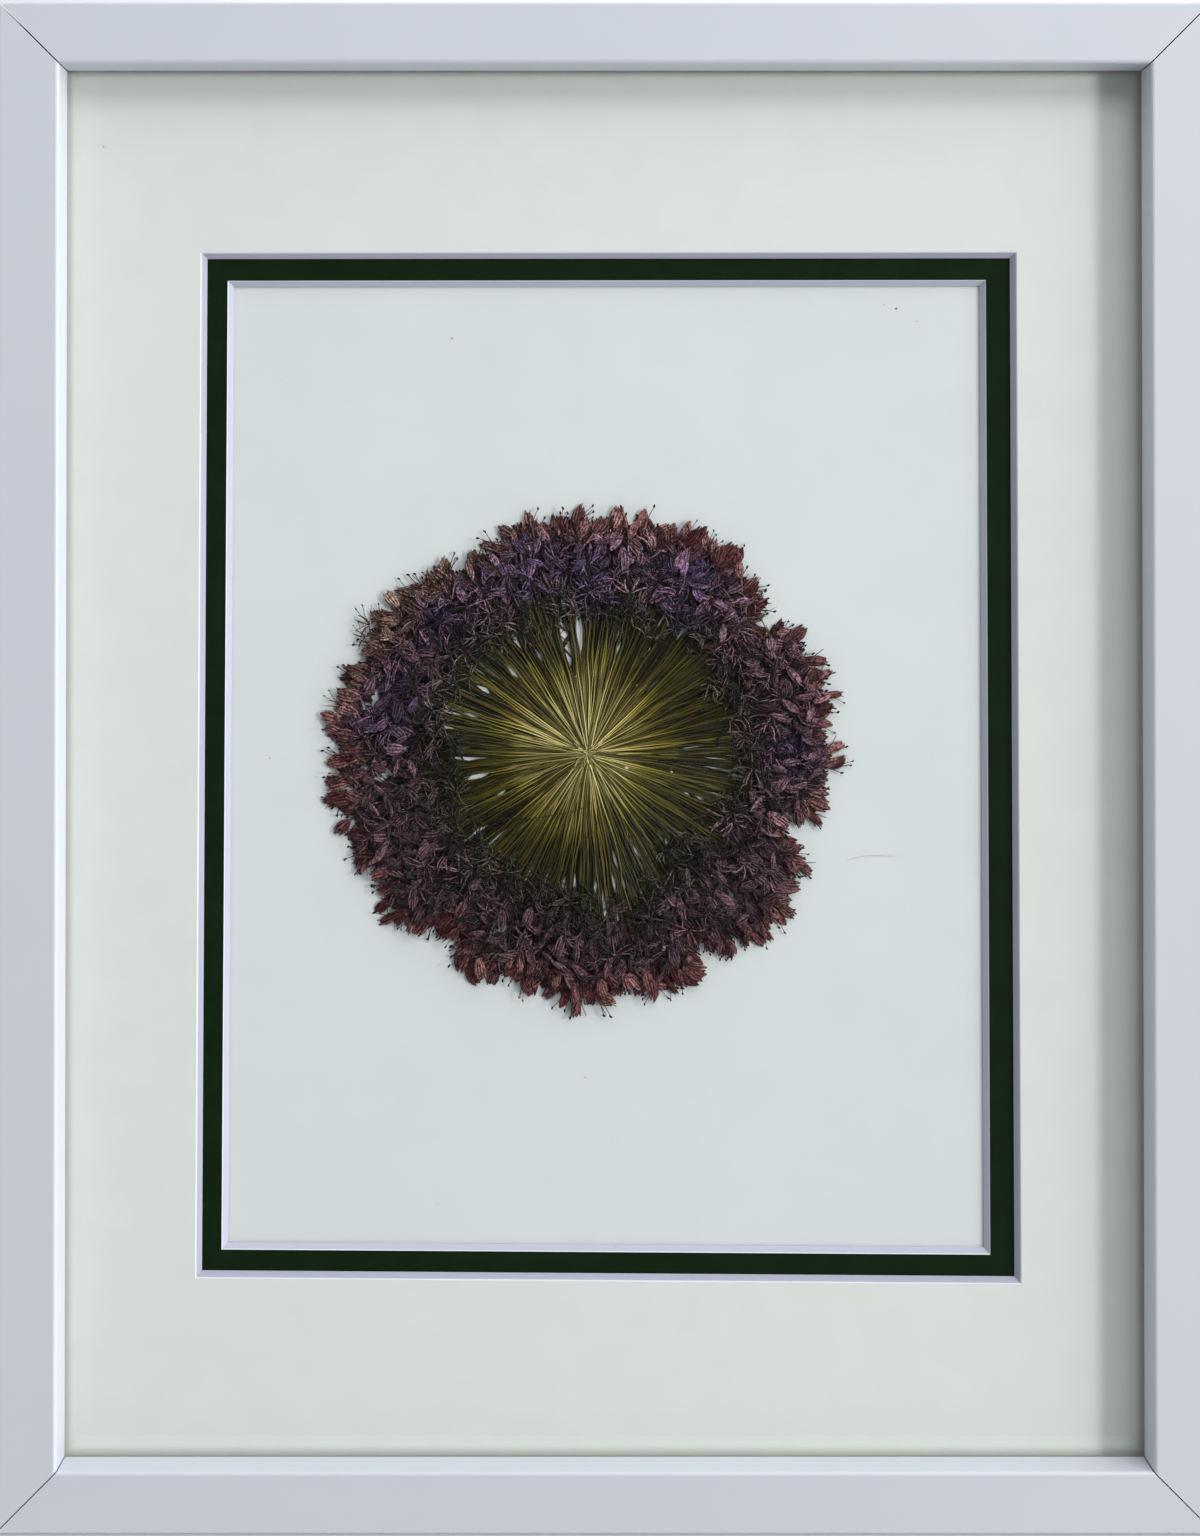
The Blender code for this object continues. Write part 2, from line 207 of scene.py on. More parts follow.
CREAM_FACE = (0.78, 0.815, 0.775, 1)
CREAM_FACE_SHADE = (0.755, 0.79, 0.75, 1)
GREEN_FACE = (0.0065, 0.0185, 0.0055, 1)
GREEN_FACE_SHADE = (0.005, 0.0145, 0.0045, 1)
CREAM_CORE = (0.46, 0.465, 0.57, 1)
GREEN_CORE = (0.54, 0.55, 0.66, 1)
# The top edge of the cut core, brighter than the rest of the core: a painted highlight.
CORE_EDGE_HIGHLIGHT = (0.86, 0.87, 0.93, 1)
# Dust and painted shade on the face paper next to the frame's lip.
LIP_DUST_AND_SHADE = (0.72, 0.74, 0.74, 1)
DUST_AND_SHADE_FROM_LIP = (-0.0008, 0.0020)
HALF_OPENING = Vector((0.26670, 0.34290)) / 2
FACE_PAPER = 0.00012
FACE_PAPER_EDGE = 0.00035

paper_fibre = bpy.data.node_groups.new("paper_fibre", "ShaderNodeTree")
for socket_name, socket_kind, default in (
        ("Fibres", "NodeSocketFloat", 700.0), ("Mottle", "NodeSocketFloat", 90.0)):
    socket = paper_fibre.interface.new_socket(socket_name, in_out="INPUT", socket_type=socket_kind)
    socket.default_value = default
for socket_name in ("Shade", "Relief"):
    paper_fibre.interface.new_socket(socket_name, in_out="OUTPUT", socket_type="NodeSocketFloat")
fibre_in = put(paper_fibre, "NodeGroupInput")
fibre_out = put(paper_fibre, "NodeGroupOutput")
fibre_across, fibre_along, fibre_cloud = (
    mottle(paper_fibre, stretched(paper_fibre, stretch, turn), fibre_in.outputs[size], 4.0, 0.6)
    for stretch, turn, size in (
        ((1, 1, 0.25), (0, 0.5, 0), "Fibres"), ((0.3, 1, 1), (0, -0.4, 0), "Fibres"),
        ((1, 1, 1), (0, 0, 0), "Mottle")))
fibre_relief = reckon(paper_fibre, "MULTIPLY", reckon(paper_fibre, "ADD", fibre_across, fibre_along), 0.5)
fibre_part = reckon(paper_fibre, "MULTIPLY", fibre_relief, 0.4)
fibre_shade = reckon(paper_fibre, "MULTIPLY_ADD", fibre_cloud, 0.6, fibre_part)
paper_fibre.links.new(fibre_relief, fibre_out.inputs["Relief"])
paper_fibre.links.new(fibre_shade, fibre_out.inputs["Shade"])


def mat_board(name, node_name, face, face_shade, core):
    """Tinted face paper, darker along the lip with dust and painted shade, and a white core wherever the
    board is cut through.
    """
    material, tree, shader = new_material(name, Roughness=0.9, Specular_IOR_Level=0.04)
    fibre = put(tree, "ShaderNodeGroup", node_tree=paper_fibre)
    paper = blend_colours(tree, fade(tree, fibre.outputs["Shade"], 0.35, 0.65), face, face_shade)
    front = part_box(node_name)[0].y
    place = put(tree, "ShaderNodeTexCoord").outputs["Object"]
    spot = put(tree, "ShaderNodeSeparateXYZ", {0: place})
    depth = spot.outputs["Y"]
    below_face = fade(tree, depth, front + FACE_PAPER / 2, front + FACE_PAPER)
    # A thin band at the top of the cut carries the painted highlight.
    below_edge = fade(tree, depth, front + FACE_PAPER, front + FACE_PAPER_EDGE)
    cut = blend_colours(tree, below_edge, CORE_EDGE_HIGHLIGHT, core)
    off_z = reckon(tree, "ABSOLUTE", reckon(tree, "SUBTRACT", spot.outputs["Z"], MIDDLE.z))
    beside = reckon(tree, "SUBTRACT", HALF_OPENING.x, reckon(tree, "ABSOLUTE", spot.outputs["X"]))
    from_lip = reckon(tree, "MINIMUM", beside, reckon(tree, "SUBTRACT", HALF_OPENING.y, off_z))
    # Painted shade and dust over the last 2 mm of face before the lip.
    dust_and_shade = blend_colours(tree, fade(tree, from_lip, *DUST_AND_SHADE_FROM_LIP), LIP_DUST_AND_SHADE, (1, 1, 1, 1))
    colour = blend_colours(tree, below_face, blend_colours(tree, 1.0, paper, dust_and_shade, "MULTIPLY"), cut)
    feed(tree, shader, Base_Color=colour, Normal=bump(tree, fibre.outputs["Relief"], 0.00003, 0.5))
    return material


finish_node("mat_cream", mat_board("cream_board", "mat_cream", CREAM_FACE, CREAM_FACE_SHADE, CREAM_CORE))
finish_node("mat_green", mat_board("green_board", "mat_green", GREEN_FACE, GREEN_FACE_SHADE, GREEN_CORE))

# Card
# The sheet of smooth white card that the flower is fixed on.

CARD_COLOUR = (0.745, 0.795, 0.79, 1)
CARD_SHADE = (0.72, 0.77, 0.77, 1)

card_material, card_tree, card_shader = new_material("white_card", Roughness=0.85, Specular_IOR_Level=0.1)
card_fibre = put(card_tree, "ShaderNodeGroup", {"Fibres": 1100.0, "Mottle": 45.0}, node_tree=paper_fibre)
card_colour = blend_colours(
    card_tree, fade(card_tree, card_fibre.outputs["Shade"], 0.35, 0.65), CARD_COLOUR, CARD_SHADE)
feed(card_tree, card_shader, Base_Color=card_colour,
     Normal=bump(card_tree, card_fibre.outputs["Relief"], 0.00002, 0.4))
finish_node("specimen_card", card_material)

# Stalks
# Hundreds of thin dry stalks that spread from the middle of the flower head, pressed flat.
# They lie in a low pile at the middle, bow apart in slits, and run in under the florets.
# Crushed ones lie flat on the card under the others, in a very dark tone that paints the shade between the
# stalks above.

# Stalks from the top of the pile to the card: how many, and their lowest and highest share of its height.
STALK_TIERS = ((190, 0.72, 1.0), (330, 0.3, 0.75), (460, 0.0, 0.35))
CRUSHED_COUNT = 230
CRUSHED_REACH = (0.011, 0.0525)
CRUSHED_THICKNESS = 3.0
STALK_STEP = 0.0032
STALK_INNER = (-0.0012, 0.0004)
STALK_REACH = (0.037, 0.055)
STALK_RADIUS = 0.00021
STALK_WAVE = 0.00035
STALK_TANGLE = 0.0006
PILE_MIDDLE = 0.0019
PILE_EDGE = 0.0005
PILE_SPREAD = 0.013
FLOWER_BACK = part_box("specimen_card")[0].y
FLOWER_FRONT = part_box("glass")[1].y
FLOWER_ROOM = FLOWER_BACK - FLOWER_FRONT - 0.0001
FLOWER_MIDDLE = Vector((MIDDLE.x - 0.0041, FLOWER_BACK, MIDDLE.z + 0.0016))
PALEST_STALKS = FLOWER_MIDDLE + Vector((-0.0025, 0, 0.0015))
# How far from their palest place the stalks turn from gold to olive, and from olive to dark.
GOLD_TO_OLIVE = (0.003, 0.022)
OLIVE_TO_DARK = (0.012, 0.0275)
STALK_SEED = 20
# Slits between stalks: degrees clockwise from the top, inner and outer radius and width in mm.
SLITS = (
    (349, 21.4, 35.5, 1.6), (350.8, 28, 35, 1.0), (356, 26, 35, 1.3), (327.3, 31, 36.5, 1.0),
    (317.2, 24.5, 30, 1.0), (301.6, 27, 32.5, 1.15), (288, 29.3, 33.5, 0.9), (286.5, 34, 37, 0.9),
    (280, 35.5, 38, 0.8), (267, 28.6, 31.5, 0.9), (258, 25.2, 32, 1.25), (244.8, 23, 25.3, 0.9),
    (333.7, 26, 30, 0.8), (319, 33.7, 35.5, 0.7), (306.5, 33, 35.5, 0.9), (16.4, 26, 29, 0.6),
    (31, 29, 35, 0.45), (138.5, 26.5, 33, 1.0), (140, 31.5, 34, 0.8), (111.8, 28.3, 33, 0.6),
    (112.3, 26, 28.2, 0.5), (105.4, 29, 33.2, 0.5), (118.5, 33, 35.5, 0.8), (120.8, 34.5, 36.3, 0.8),
    (153.8, 23.4, 28.5, 0.7), (165.7, 25, 30.7, 0.6), (168.4, 30, 34.8, 1.0), (164.4, 31.2, 34.2, 1.0),
    (176.6, 32.7, 36.2, 0.9), (190.5, 32, 35.5, 0.7), (185.3, 32.5, 34.5, 0.5), (244.7, 33.2, 36, 1.1),
    (234, 32.2, 35.7, 0.7))
# Loose stalks across the others: thickness and shade, then points in mm from the flower's middle.
LOOSE_STALKS = (
    (0.9, 1.0, ((41.9, 35.6), (43.7, 33.0), (45.0, 30.4), (46.6, 26.6))),
    (0.8, 0.9, ((38.8, 34.0), (42.1, 30.6), (44.7, 28.1), (47.8, 25.0))),
    (0.4, 0.8, ((41.9, 34.4), (44.8, 35.3), (47.3, 36.6))),
    (0.7, 0.05, (
        (-27.5, -15.2), (-24.3, -16.2), (-14.5, -16.5), (-4.1, -14.7), (-0.9, -13.5), (1.6, -11.6))),
    (0.7, 0.2, ((-10.4, -28.0), (-4.4, -24.5), (0.6, -20.5), (4.0, -17.2))),
    (0.4, 1.0, ((20.4, -4.1), (21.5, -3.0), (23.2, -2.0))))


def pile_height(radius):
    """How high the pile of stalks stands at this radius."""
    return PILE_EDGE + (PILE_MIDDLE - PILE_EDGE) * math.exp(-(radius / PILE_SPREAD) ** 2)


def opened(angle, radius, thick):
    """The angle of a stalk at this radius, pushed aside by the slits."""
    for degrees, inner, outer, width in SLITS:
        share = (radius - inner / 1000) / ((outer - inner) / 1000)
        if 0 < share < 1:
            gap = (math.sin(math.pi * share) ** 0.7 * width / 2000 + thick) / radius
            aside = math.remainder(angle - math.radians(degrees), 2 * math.pi)
            angle += math.copysign(math.hypot(aside, gap), aside) - aside
    return angle


def on_card(angle, radius, height):
    """A place on the card, with the angle clockwise from the top."""
    return (radius * math.sin(angle), radius * math.cos(angle), height)


def strand_mesh(name, strands):
    """Lines to be swept, thinner at both ends: each strand is its points, its thickness and its tone and
    painted shade.
    """
    places, lines, thickness, tint = [], [], [], []
    for points, thick, shade in strands:
        first, last = len(places), len(points) - 1
        places += points
        lines += [(first + n, first + n + 1) for n in range(last)]
        thickness += [thick * min(1, 0.45 + 0.55 * n / 2, 0.5 + (last - n) / 2) for n in range(last + 1)]
        tint += [shade] * len(points)
    mesh = bpy.data.meshes.new(name)
    mesh.from_pydata(places, lines, [])
    for label, values in (("thickness", thickness), ("tint", tint)):
        mesh.attributes.new(label, "FLOAT", "POINT").data.foreach_set("value", values)
    return mesh


def new_tree(name, **inputs):
    """A Geometry Nodes tree with named number inputs, and its group input node."""
    tree = bpy.data.node_groups.new(name, "GeometryNodeTree")
    tree.interface.new_socket("Geometry", in_out="INPUT", socket_type="NodeSocketGeometry")
    tree.interface.new_socket("Geometry", in_out="OUTPUT", socket_type="NodeSocketGeometry")
    for label, kind in inputs.items():
        tree.interface.new_socket(label, in_out="INPUT", socket_type=kind)
    return tree, put(tree, "NodeGroupInput")


def named_value(tree, name, kind="FLOAT"):
    return put(tree, "GeometryNodeInputNamedAttribute", {"Name": name}, data_type=kind).outputs["Attribute"]


def end_tree(tree, geometry, material, smooth):
    """Stand the pressed flower up on its card, and close the tree."""
    upright = put(tree, "GeometryNodeTransform", {
        "Geometry": geometry, "Translation": FLOWER_MIDDLE, "Rotation": (math.pi / 2, 0, 0)})
    real = put(tree, "GeometryNodeRealizeInstances", {"Geometry": upright.outputs[0]})
    shaded = put(tree, "GeometryNodeSetShadeSmooth", {"Geometry": real.outputs[0], "Shade Smooth": smooth})
    dressed = put(tree, "GeometryNodeSetMaterial", {"Geometry": shaded.outputs[0], "Material": material})
    put(tree, "NodeGroupOutput", {"Geometry": dressed.outputs[0]})


def grown(name, mesh, tree, values):
    """The plain mesh that a Geometry Nodes tree makes from this mesh."""
    base = bpy.data.objects.new(name + "_base", mesh)
    bpy.context.scene.collection.objects.link(base)
    nodes = base.modifiers.new("grow", "NODES")
    nodes.node_group = tree
    for item in tree.interface.items_tree:
        if item.in_out == "INPUT" and item.name in values:
            nodes[item.identifier] = values[item.name]
    bpy.context.view_layer.update()
    result = bpy.data.meshes.new_from_object(base.evaluated_get(bpy.context.evaluated_depsgraph_get()))
    while result.materials[0] is None:
        result.materials.pop(index=0)
    base.modifiers.remove(nodes)
    bpy.data.objects.remove(base)
    piece = bpy.data.objects.new(name, result)
    bpy.context.scene.collection.objects.link(piece)
    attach(piece, "root")
    return piece


def sweep_tree(name, material):
    """Lines swept with an oval section, whose thickness each point gives."""
    tree, given = new_tree(name, Sides="NodeSocketInt", Flatness="NodeSocketFloat")
    curve = put(tree, "GeometryNodeMeshToCurve", {"Mesh": given.outputs["Geometry"]})
    upward = put(tree, "GeometryNodeSetCurveNormal", {"Curve": curve.outputs[0]})
    upward.mode = "Z_UP"
    ring = put(tree, "GeometryNodeCurvePrimitiveCircle", {
        "Resolution": given.outputs["Sides"], "Radius": 1.0})
    oval_scale = put(tree, "ShaderNodeCombineXYZ", {"X": 1.0, "Y": given.outputs["Flatness"], "Z": 1.0})
    oval = put(tree, "GeometryNodeTransform", {"Geometry": ring.outputs[0], "Scale": oval_scale.outputs[0]})
    tube = put(tree, "GeometryNodeCurveToMesh", {
        "Curve": upward.outputs[0], "Profile Curve": oval.outputs[0], "Fill Caps": True,
        "Scale": named_value(tree, "thickness")})
    end_tree(tree, tube.outputs[0], material, True)
    return tree


def stalk_line(chance, start, inner, reach, level, thick):
    """The points of one pressed stalk, from the middle out to under the florets."""
    swing = chance.gauss(0, 0.035)
    waves = [(chance.uniform(0.3, 1.0) * STALK_WAVE, chance.uniform(120, 300), chance.uniform(0, 6.3))
             for _ in range(2)]
    off_x, off_z = chance.gauss(0, STALK_TANGLE), chance.gauss(0, STALK_TANGLE)
    points = []
    radius = inner
    while radius < reach:
        aside = sum(size * math.sin(radius * rate + phase) for size, rate, phase in waves)
        angle = start + swing * radius / 0.04 + aside * min(1, abs(radius) / 0.02) / max(radius, 0.006)
        dip = 0.35 * math.exp(-(radius / 0.0013) ** 2)
        height = STALK_RADIUS * 0.7 + level * pile_height(radius) * (1 - dip)
        x, z, _ = on_card(opened(angle, radius, thick), radius, height)
        near = math.exp(-max(radius, 0) / 0.004)
        points.append((x + off_x * near, z + off_z * near, height))
        radius += STALK_STEP if radius > 0.004 else STALK_STEP / 2
    return points


def all_stalks(chance):
    """The pile, layer by layer, and the loose stalks that lie across it."""
    strands = []
    for count, lowest, highest in STALK_TIERS:
        for number in range(count):
            start = (number / count + chance.uniform(-0.003, 0.003)) * 2 * math.pi
            level = chance.uniform(lowest, highest)
            inner, reach = chance.uniform(*STALK_INNER), chance.uniform(*STALK_REACH)
            points = stalk_line(chance, start, inner, reach, level, STALK_RADIUS)
            # Random tone, darker for stalks lower in the pile: painted shade under the stalks above.
            shade = (0.25 + 0.75 * level) * chance.random() ** 1.5
            strands.append((points, STALK_RADIUS * chance.uniform(0.75, 1.2), shade))
    for thick, shade, route in LOOSE_STALKS:
        points = [(x / 1000, z / 1000, 0.0010 + pile_height(math.hypot(x, z) / 1000)) for x, z in route]
        strands.append((points, STALK_RADIUS * thick, shade))
    return strands


def crushed_stalks(chance):
    """Broad strands crushed flat on the card, in a very dark tone: painted shade between the stalks above.
    """
    thick = STALK_RADIUS * CRUSHED_THICKNESS
    inner, outer = CRUSHED_REACH
    strands = []
    for number in range(CRUSHED_COUNT):
        points = stalk_line(chance, number / CRUSHED_COUNT * 2 * math.pi, inner, outer, 0, thick)
        strands.append((points, thick, chance.uniform(0, 0.25)))
    return strands


def stalk_material():
    """Gold to olive to nearly black outwards. Each stalk has a painted highlight along its top and painted
    shade at its sides.
    """
    material, tree, shader = new_material("dry_stalk", Roughness=0.36, Specular_IOR_Level=0.25)
    coordinates = put(tree, "ShaderNodeTexCoord")
    place = coordinates.outputs["Object"]
    off_middle = put(tree, "ShaderNodeVectorMath", {0: place, 1: PALEST_STALKS}, operation="DISTANCE")
    tint = put(tree, "ShaderNodeAttribute", attribute_name="tint").outputs["Fac"]
    cloud = reckon(tree, "SUBTRACT", mottle(tree, place, 60.0, 3.0), 0.5)
    radius = reckon(tree, "MULTIPLY_ADD", cloud, 0.022, off_middle.outputs["Value"])
    # Each colour runs from dark for a low tone and shade value, which includes painted shade low in the
    # pile, to pale.
    gold = blend_colours(tree, tint, (0.10, 0.078, 0.012, 1), (1.0, 0.88, 0.34, 1))
    olive = blend_colours(tree, tint, (0.030, 0.023, 0.001, 1), (0.50, 0.41, 0.045, 1))
    dark = blend_colours(tree, tint, (0.009, 0.008, 0.002, 1), (0.150, 0.126, 0.018, 1))
    inner = blend_colours(tree, fade(tree, radius, *GOLD_TO_OLIVE), gold, olive)
    colour = blend_colours(tree, fade(tree, radius, *OLIVE_TO_DARK), inner, dark)
    # Painted highlight and shade: lighter where the stalk's surface faces the glass, dark at its sides.
    upward = put(tree, "ShaderNodeVectorMath", {0: coordinates.outputs["Normal"], 1: (0, -1, 0)},
                 operation="DOT_PRODUCT").outputs["Value"]
    side = blend_colours(tree, fade(tree, upward, 0.66, 0.98), (0.06, 0.05, 0.02, 1), (1, 1, 1, 1))
    colour = blend_colours(tree, 1.0, colour, side, "MULTIPLY")
    streak = mottle(tree, place, 2200.0, 3.0)
    feed(tree, shader, Base_Color=colour, Normal=bump(tree, streak, 0.00006, 0.5))
    return material


stalk_chance = random.Random(STALK_SEED)
stalk_sweep = sweep_tree("stalk_sweep", stalk_material())
for stalk_name, strands, sides, flatness in (
        ("pressed_stalks", all_stalks(stalk_chance), 6, 0.7),
        ("crushed_stalks", crushed_stalks(stalk_chance), 5, 0.22)):
    stalks = grown(stalk_name, strand_mesh(stalk_name + "_lines", strands), stalk_sweep,
                   {"Sides": sides, "Flatness": flatness})
    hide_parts("flower_stalks")

# Florets
# Over two thousand dry florets in one tangled ring: narrow striped tepals round a dark ovary,
# with thin stamens. They lie in layers: a bed on the card, a rim pointing outwards, and the
# withered mass on top.

# The ring's outer edge: degrees clockwise from the top, and radius in mm.
RING_EDGE = (
    (0, 61.6), (10, 60.8), (20, 62.9), (28, 63.6), (37, 63.4), (45, 62.1), (49, 59.5), (51.5, 53.5),
    (55, 53.0), (58, 62), (65, 62.9), (78, 64.6), (85, 61.6), (95, 64.4), (100, 63.6), (105, 60.3),
    (108.5, 54.5), (113, 55), (117, 62.9), (130, 65.4), (135, 64.9), (143, 64.6), (148, 58), (152, 57.5),
    (155, 65.4), (165, 63.4), (170, 62.3), (178, 64.9), (185, 64.6), (190, 61.6), (200, 61.6), (205, 65.9),
    (212, 62.3), (220, 59.8), (224, 66.1), (230, 66.6), (240, 62.9), (246, 67.4), (250, 64.1), (262, 67.4),
    (268, 64.1), (275, 67.4), (285, 64.9), (293, 62.9), (305, 64.4), (315, 62.1), (325, 59.1), (330, 59.6),
    (336, 57.3), (342, 63.6), (350, 60.8), (355, 62.1))
# The ring's inner edge, in the same way.
RING_INSIDE = (
    (0, 36.5), (17, 35), (45, 38.5), (70, 36.5), (100, 38.5), (127, 32.7), (150, 36), (160, 38.5),
    (180, 36), (200, 33.5), (212, 33.5), (240, 36.5), (267, 33), (285, 37), (300, 37), (320, 37),
    (330, 34.5), (345, 37))
# Where the florets kept their violet: degrees, radius and size in mm.
VIOLET_PLACES = (
    (334, 50, 10), (0, 44, 9), (31, 46, 9), (33, 53, 7), (90, 50, 5), (312, 50, 8), (279, 50, 7),
    (289, 48, 6), (345, 48, 7))
# The middle of the tan-brown part of the rim.
TAN_PLACE = FLOWER_MIDDLE + Vector((-0.043, 0, 0.043))
# Wide open florets beside the ring: degrees, radius in mm and size.
SPLAYED_PLACES = ((300.5, 63.0, 0.75), (281, 62.5, 0.7), (297.5, 62.5, 0.6))
FLORET_LENGTH = 0.0058
TEPAL_WIDTH = 0.00115
BED_COUNT = 800
RIM_COUNT = 350
MASS_COUNT = 860
INNER_COUNT = 220
FLORET_SEED = 7
GOLDEN_ANGLE = math.pi * (3 - math.sqrt(5))
# The kinds of floret: the half angle of its tepals in degrees, how narrow they are, and its stamens.
CLOSED_KINDS = ((26, 0.75, 2), (34, 0.8, 1), (38, 0.9, 0), (44, 0.82, 2), (30, 0.85, 2), (52, 0.7, 4))
OPEN_KINDS = ((75, 0.6, 3), (110, 0.5, 4), (140, 0.55, 3), (95, 0.45, 4), (150, 0.5, 4), (60, 0.6, 4))
KINDS = CLOSED_KINDS + OPEN_KINDS
WIDE_OPEN_KIND = 7
# What a face of a floret belongs to.
TEPAL, THREAD, ANTHER, OVARY = range(4)


def along_edge(edge, angle):
    """The radius of this edge at an angle, between its two nearest points."""
    degrees = math.degrees(angle) % 360
    points = list(edge) + [(edge[0][0] + 360, edge[0][1])]
    if degrees < points[0][0]:
        degrees += 360
    for (start, low_radius), (end, high_radius) in zip(points, points[1:]):
        if start <= degrees <= end:
            share = (degrees - start) / (end - start)
            return (low_radius + (high_radius - low_radius) * share) / 1000
    return points[0][1] / 1000


class FloretShape:
    """A floret being built flat on the card, with its stem end at the origin, pointing along +Y."""

    def __init__(self):
        self.places, self.faces, self.part, self.across = [], [], [], []

    def add_ring(self, places, part, across):
        self.places += places
        self.part += [part] * len(places)
        self.across += across

    def add_blade(self, path, widths, ridge, part):
        """A closed three-sided blade along a path, with its ridge on top."""
        first = len(self.places)
        for number, (point, width) in enumerate(zip(path, widths)):
            before, after = path[max(number - 1, 0)], path[min(number + 1, len(path) - 1)]
            side = (after - before).cross(Vector((0, 0, 1))).normalized() * width / 2
            top = Vector((0, 0, ridge * width))
            self.add_ring([point - side, point + side, point + top], part, [-1.0, 1.0, 0.0])
        for number in range(len(path) - 1):
            a = first + 3 * number
            self.faces += [(a, a + 3, a + 5, a + 2), (a + 2, a + 5, a + 4, a + 1), (a + 1, a + 4, a + 3, a)]
        last = first + 3 * (len(path) - 1)
        self.faces += [(first, first + 2, first + 1), (last, last + 1, last + 2)]

    def add_bead(self, middle, size, part):
        """A small rounded lump with four sides."""
        first = len(self.places)
        for rise, reach in ((-0.8, 0.5), (0.0, 1.0), (0.8, 0.5)):
            ring = [middle + Vector((size.x * reach * x, size.y * rise, size.z * reach * z))
                    for x, z in ((-1, 0), (0, 1), (1, 0), (0, -1))]
            self.add_ring(ring, part, [-0.7, 0.0, 0.7, 0.0])
        for level in range(2):
            for corner in range(4):
                a, b = first + 4 * level + corner, first + 4 * level + (corner + 1) % 4
                self.faces.append((a, a + 4, b + 4, b))
        self.faces += [tuple(first + n for n in (0, 1, 2, 3)), tuple(first + 8 + n for n in (3, 2, 1, 0))]

    def finished(self, name):
        """The mesh, with what each point belongs to and how far across its blade it is."""
        mesh = bpy.data.meshes.new(name)
        mesh.from_pydata(self.places, [], self.faces)
        build = bmesh.new()
        build.from_mesh(mesh)
        bmesh.ops.recalc_face_normals(build, faces=build.faces)
        build.to_mesh(mesh)
        build.free()
        for label, values in (("part", self.part), ("across", self.across)):
            numbers = [float(value) for value in values]
            mesh.attributes.new(label, "FLOAT", "POINT").data.foreach_set("value", numbers)
        return mesh


def bent_path(start, heading, length, bend, climb, steps):
    """A path from start that turns by bend and rises by climb on its way."""
    path, place = [start.copy()], start.copy()
    for number in range(steps):
        heading += bend / steps
        rise = climb * math.cos((number + 0.5) / steps * math.pi)
        place = place + Vector((math.sin(heading), math.cos(heading), rise)) * (length / steps)
        path.append(place.copy())
    return path


def floret_kind(number, spread, narrow, stamens, chance):
    """One kind of floret. Spread is the half angle of its tepals, and narrow thins them."""
    shape = FloretShape()
    closed = spread < 60
    jitter = 2.5 if closed else 9
    for tepal in range(6):
        heading = math.radians((tepal - 2.5) / 2.5 * spread + chance.uniform(-jitter, jitter))
        base = Vector((0.0004 * math.sin(heading), 0.0003, 0.0002 * (tepal % 2)))
        curl = -heading * chance.uniform(1.1, 1.6) if closed else chance.uniform(-1.5, 1.5)
        length = FLORET_LENGTH * chance.uniform(0.88, 1.04)
        path = bent_path(base, heading, length, curl, chance.uniform(-0.12, 0.2), 3)
        width = TEPAL_WIDTH * narrow * chance.uniform(0.9, 1.1)
        shape.add_blade(path, (width * 0.6, width, width * 0.95, width * 0.35), 0.30, TEPAL)
    for stamen in range(stamens):
        heading = math.radians(chance.uniform(-spread, spread) * 0.8)
        length = FLORET_LENGTH * chance.uniform(0.9, 1.18)
        path = bent_path(Vector((0, 0.0006, 0.0005)), heading, length, chance.uniform(-0.6, 0.6), 0.1, 2)
        shape.add_blade(path, (0.00022, 0.0002, 0.00018), 0.6, THREAD)
        if stamen % 2 == 0:
            shape.add_bead(path[-1], Vector((0.00028, 0.00052, 0.00025)), ANTHER)
    if not closed:
        shape.add_bead(Vector((0, 0.0007, 0.0004)), Vector((0.00042, 0.00055, 0.0004)), OVARY)
    return shape.finished(f"floret_kind_{number:02d}")


def floret_points(name, florets):
    """Points that carry what each floret is: its kind, turn, size and colours."""
    mesh = bpy.data.meshes.new(name)
    mesh.from_pydata([floret["place"] for floret in florets], [], [])
    for label in ("kind", "size", "tint", "warm", "violet"):
        data_type = "INT" if label == "kind" else "FLOAT"
        values = [floret[label] for floret in florets]
        mesh.attributes.new(label, data_type, "POINT").data.foreach_set("value", values)
    turns = [value for floret in florets for value in floret["turn"]]
    mesh.attributes.new("turn", "FLOAT_VECTOR", "POINT").data.foreach_set("vector", turns)
    return mesh


def violet_at(angle, radius):
    """How much violet is left at this place, from 0 to 1."""
    x, z, _ = on_card(angle, radius * 1000, 0)
    most = 0.0
    for degrees, far, size in VIOLET_PLACES:
        vx, vz, _ = on_card(math.radians(degrees), far, 0)
        most = max(most, math.exp(-((x - vx) ** 2 + (z - vz) ** 2) / size ** 2))
    return most


def make_floret(chance, angle, radius, height, heading, kind, size, tilt):
    """One floret, whose heading is clockwise from straight outwards. Those at the top are the palest: lower
    ones are darker as painted shade.
    """
    edge = along_edge(RING_EDGE, angle)
    inside = along_edge(RING_INSIDE, angle)
    reach = radius + FLORET_LENGTH * size * math.cos(heading)
    light = 0.70 + 0.30 * math.cos(angle - math.radians(10))
    return {
        "place": on_card(angle, radius, height), "kind": kind, "size": size,
        "turn": (chance.gauss(0, tilt), chance.gauss(0, tilt * 2), -(angle + heading)),
        # Random tone, lower towards the bottom of the ring, and lower for florets near the card as painted
        # shade under the layers above.
        "tint": light * chance.random() ** 1.15 * min(1, height / 0.0010),
        "violet": violet_at(angle, radius) * chance.uniform(0.4, 1.0),
        "warm": min(1, max(0, (reach - inside) / (edge - inside)))}


